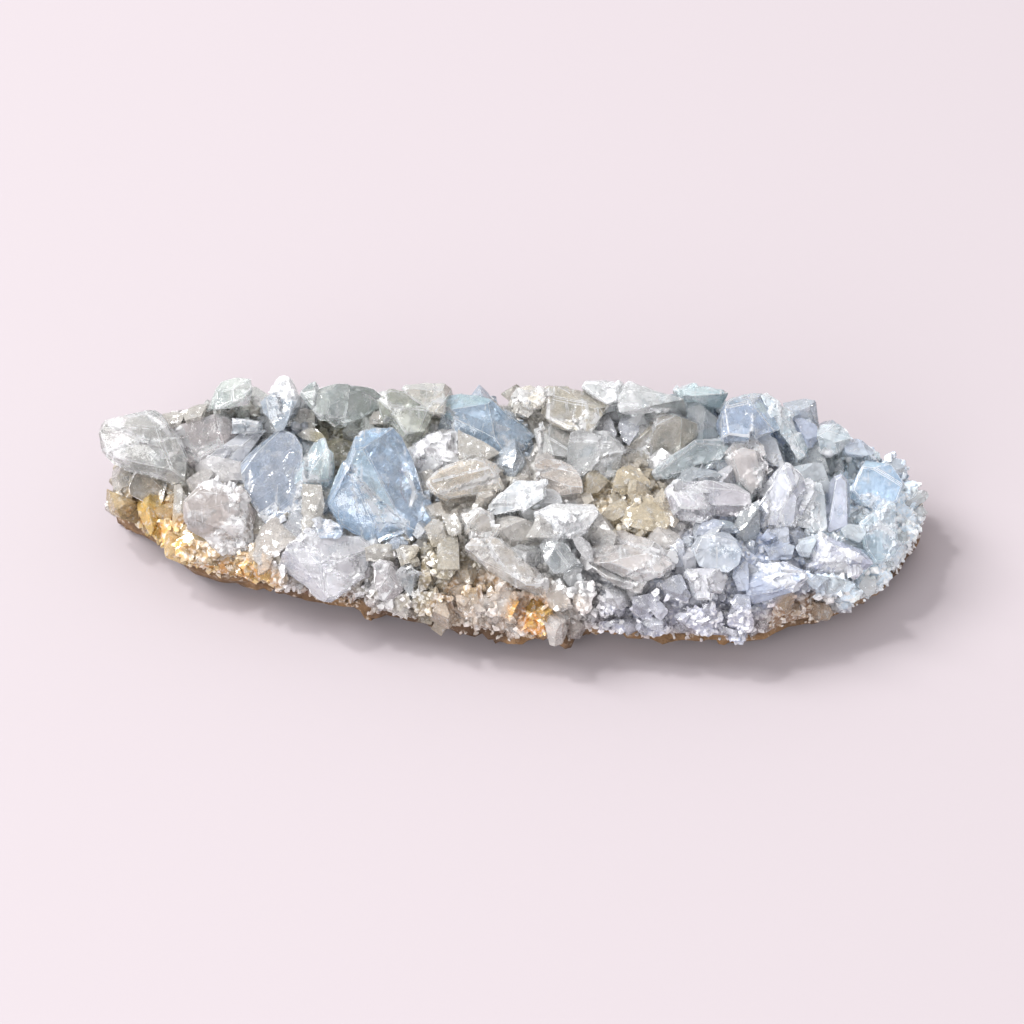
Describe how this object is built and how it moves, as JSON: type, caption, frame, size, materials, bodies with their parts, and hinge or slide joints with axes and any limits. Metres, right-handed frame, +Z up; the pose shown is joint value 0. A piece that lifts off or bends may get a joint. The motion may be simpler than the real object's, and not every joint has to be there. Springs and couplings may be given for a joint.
{
  "type": "mineral_specimen",
  "caption": "Celestite cluster: pale blue, grey and lavender blocky crystals on a sugary crust over a flat slab of host rock, resting crystals up",
  "frame": {"origin": "on the ground plane, under the middle of the object's box", "axes": "+X along the slab, to the right as the crystals' front is seen; +Y from the front edge to the back edge; +Z up, from the rock to the crystals"},
  "size_m": [0.1504, 0.052, 0.0308],
  "materials": {
    "rock": "matte",
    "crust": "matte",
    "celestite": "gloss"
  },
  "bodies": {
    "root": {"host_rock": "rock", "sugary_crust": "crust", "crystal_blue_ball": "celestite", "crystal_tall_blue": "celestite", "crystal_big_lavender": "celestite", "crystal_white_block": "celestite", "crystal_second_blue": "celestite", "crystal_left_tip": "celestite", "crystal_pink_clear": "celestite", "crystal_smoky_rough": "celestite", "crystal_smoky_olive": "celestite", "crystal_clear_top": "celestite", "crystal_olive_clear": "celestite", "crystal_cream_top": "celestite", "crystal_white_rough": "celestite", "crystal_blue_prism": "celestite", "crystal_green_top": "celestite", "crystal_striated_slab": "celestite", "crystal_grey_blue": "celestite", "crystal_sky_blue": "celestite", "crystal_white_lump": "celestite", "crystal_tan_oval": "celestite", "crystal_tan_light": "celestite", "crystal_slanted_tan": "celestite", "crystal_pink_white": "celestite", "crystal_bright_clear": "celestite", "crystal_dark_glass": "celestite", "crystal_pale_block": "celestite", "crystal_khaki_broad": "celestite", "crystal_cream_lens": "celestite", "crystal_white_lens": "celestite", "crystal_grey_slab": "celestite", "crystal_olive_dark": "celestite", "crystal_teal_front": "celestite", "crystal_grey_upright": "celestite", "crystal_blue_green_top": "celestite", "crystal_periwinkle": "celestite", "crystal_cyan_strip": "celestite", "crystal_bent_prism_top": "celestite", "crystal_bent_prism": "celestite", "crystal_grey_pink_long": "celestite", "crystal_pink_tan": "celestite", "crystal_white_step": "celestite", "crystal_white_fan": "celestite", "crystal_glass_blade": "celestite", "crystal_dull_pink": "celestite", "crystal_pale_blade": "celestite", "crystal_white_blue_pair": "celestite", "crystal_pale_grey": "celestite", "crystal_lavender_wall": "celestite", "crystal_pale_arch": "celestite", "crystal_ragged_white": "celestite", "crystal_lavender_mid": "celestite", "crystal_fan_blue": "celestite", "crystal_fan_right": "celestite", "crystal_lavender_fan": "celestite", "crystal_blue_block": "celestite", "crystal_ball_end": "celestite"}
  },
  "joints": []
}
